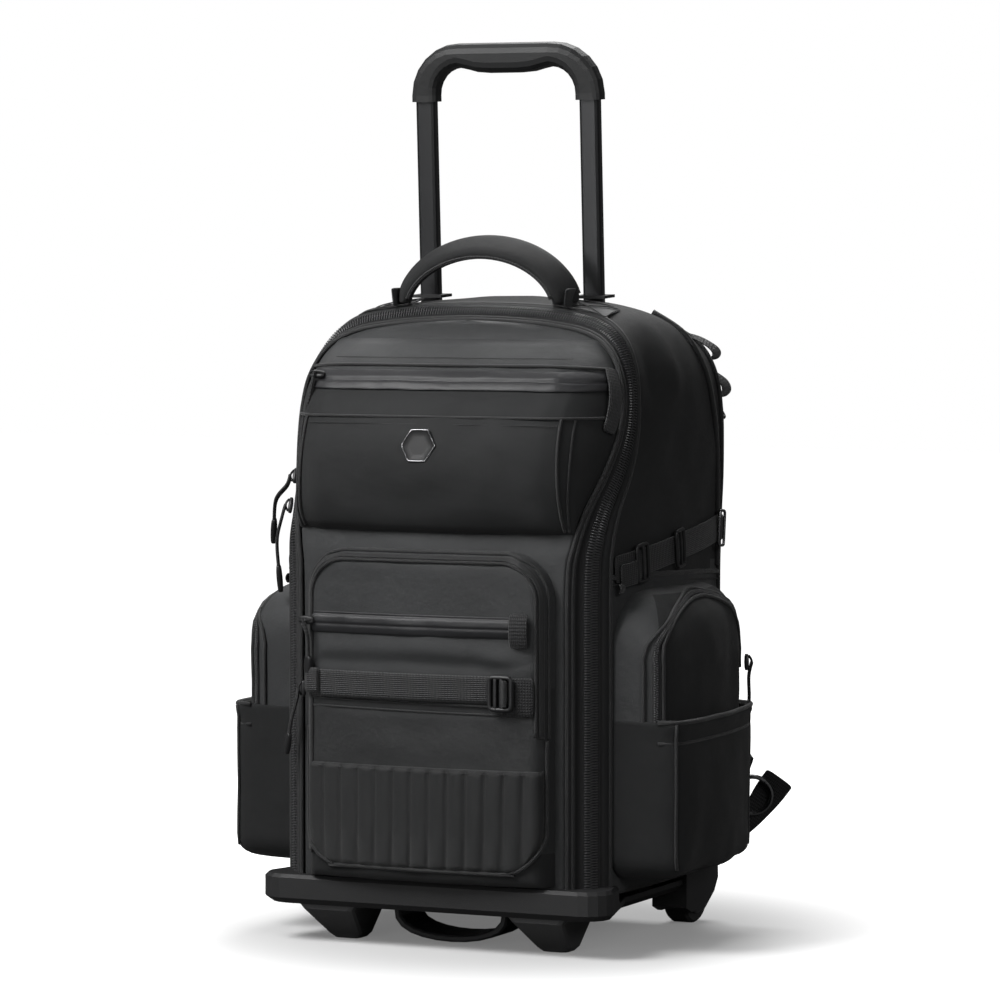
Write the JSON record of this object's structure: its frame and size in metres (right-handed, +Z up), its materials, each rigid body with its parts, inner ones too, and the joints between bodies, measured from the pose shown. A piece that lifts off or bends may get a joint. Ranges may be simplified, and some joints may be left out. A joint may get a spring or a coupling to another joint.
{
  "type": "wheeled backpack",
  "caption": "Soft wheeled backpack with a clamshell front door, front and side pockets, padded shoulder straps, feet, wheels and a telescopic trolley handle.",
  "frame": {"origin": "on the floor, under the middle of the outline at rest", "axes": "+Z up, -Y the front with the door, +X the left side of the bag as worn"},
  "size_m": [0.4248, 0.326, 0.7659],
  "materials": {
    "cloth": "dense woven nylon, faint sheen",
    "coated_cloth": "coated woven nylon, satin",
    "padding": "foam under matt cloth",
    "webbing": "ribbed webbing",
    "plastic": "moulded, satin",
    "tyre": "matt",
    "anodised": "black anodised, satin",
    "dark_metal": "dark plated, satin"
  },
  "bodies": {
    "bag": {"main_body": "cloth", "back_pad": "padding", "door_panel": "coated_cloth", "zip_gusset": "cloth", "upper_pouch": "coated_cloth", "lower_pocket": "coated_cloth", "rib_panel": "coated_cloth", "pouch_zip_strip": "coated_cloth", "pocket_zip_strip": "coated_cloth", "front_webbing": "webbing", "front_buckle": "plastic", "badge": "dark_metal", "base_tray": "plastic", "bottom_grip": "plastic", "fixed_tube_right": "anodised", "fixed_tube_left": "anodised", "tube_bezel_right": "plastic", "tube_bezel_left": "plastic", "grab_handle": "padding", "side_pouch_right": "cloth", "side_pocket_right": "cloth", "side_strap_right": "webbing", "side_buckle_front_right": "plastic", "side_buckle_rear_right": "plastic", "foot_right": "plastic", "wheel_housing_right": "plastic", "shoulder_strap_right": "padding", "harness_webbing_right": "webbing", "harness_ring_right": "dark_metal", "harness_anchor_right": "webbing", "side_pouch_left": "cloth", "side_pocket_left": "cloth", "side_strap_left": "webbing", "side_buckle_front_left": "plastic", "side_buckle_rear_left": "plastic", "foot_left": "plastic", "wheel_housing_left": "plastic", "shoulder_strap_left": "padding", "harness_webbing_left": "webbing", "harness_ring_left": "dark_metal", "harness_anchor_left": "webbing"},
    "trolley": {"sliding_tube_right": "anodised", "sliding_tube_left": "anodised", "grip": "plastic"},
    "wheel_left": {"wheel_left": "tyre"},
    "wheel_right": {"wheel_right": "tyre"}
  },
  "joints": [
    {"name": "trolley_slide", "type": "slide", "parent": "bag", "child": "trolley", "axis": [0, -0.0523, 0.9986], "range_m": [-0.16, 0.22]},
    {"name": "wheel_left_spin", "type": "hinge", "parent": "bag", "child": "wheel_left", "pos_m": [0.128, 0.11021, 0.028], "axis": [1, 0, 0], "continuous": true},
    {"name": "wheel_right_spin", "type": "hinge", "parent": "bag", "child": "wheel_right", "pos_m": [-0.128, 0.11021, 0.028], "axis": [1, 0, 0], "continuous": true}
  ]
}
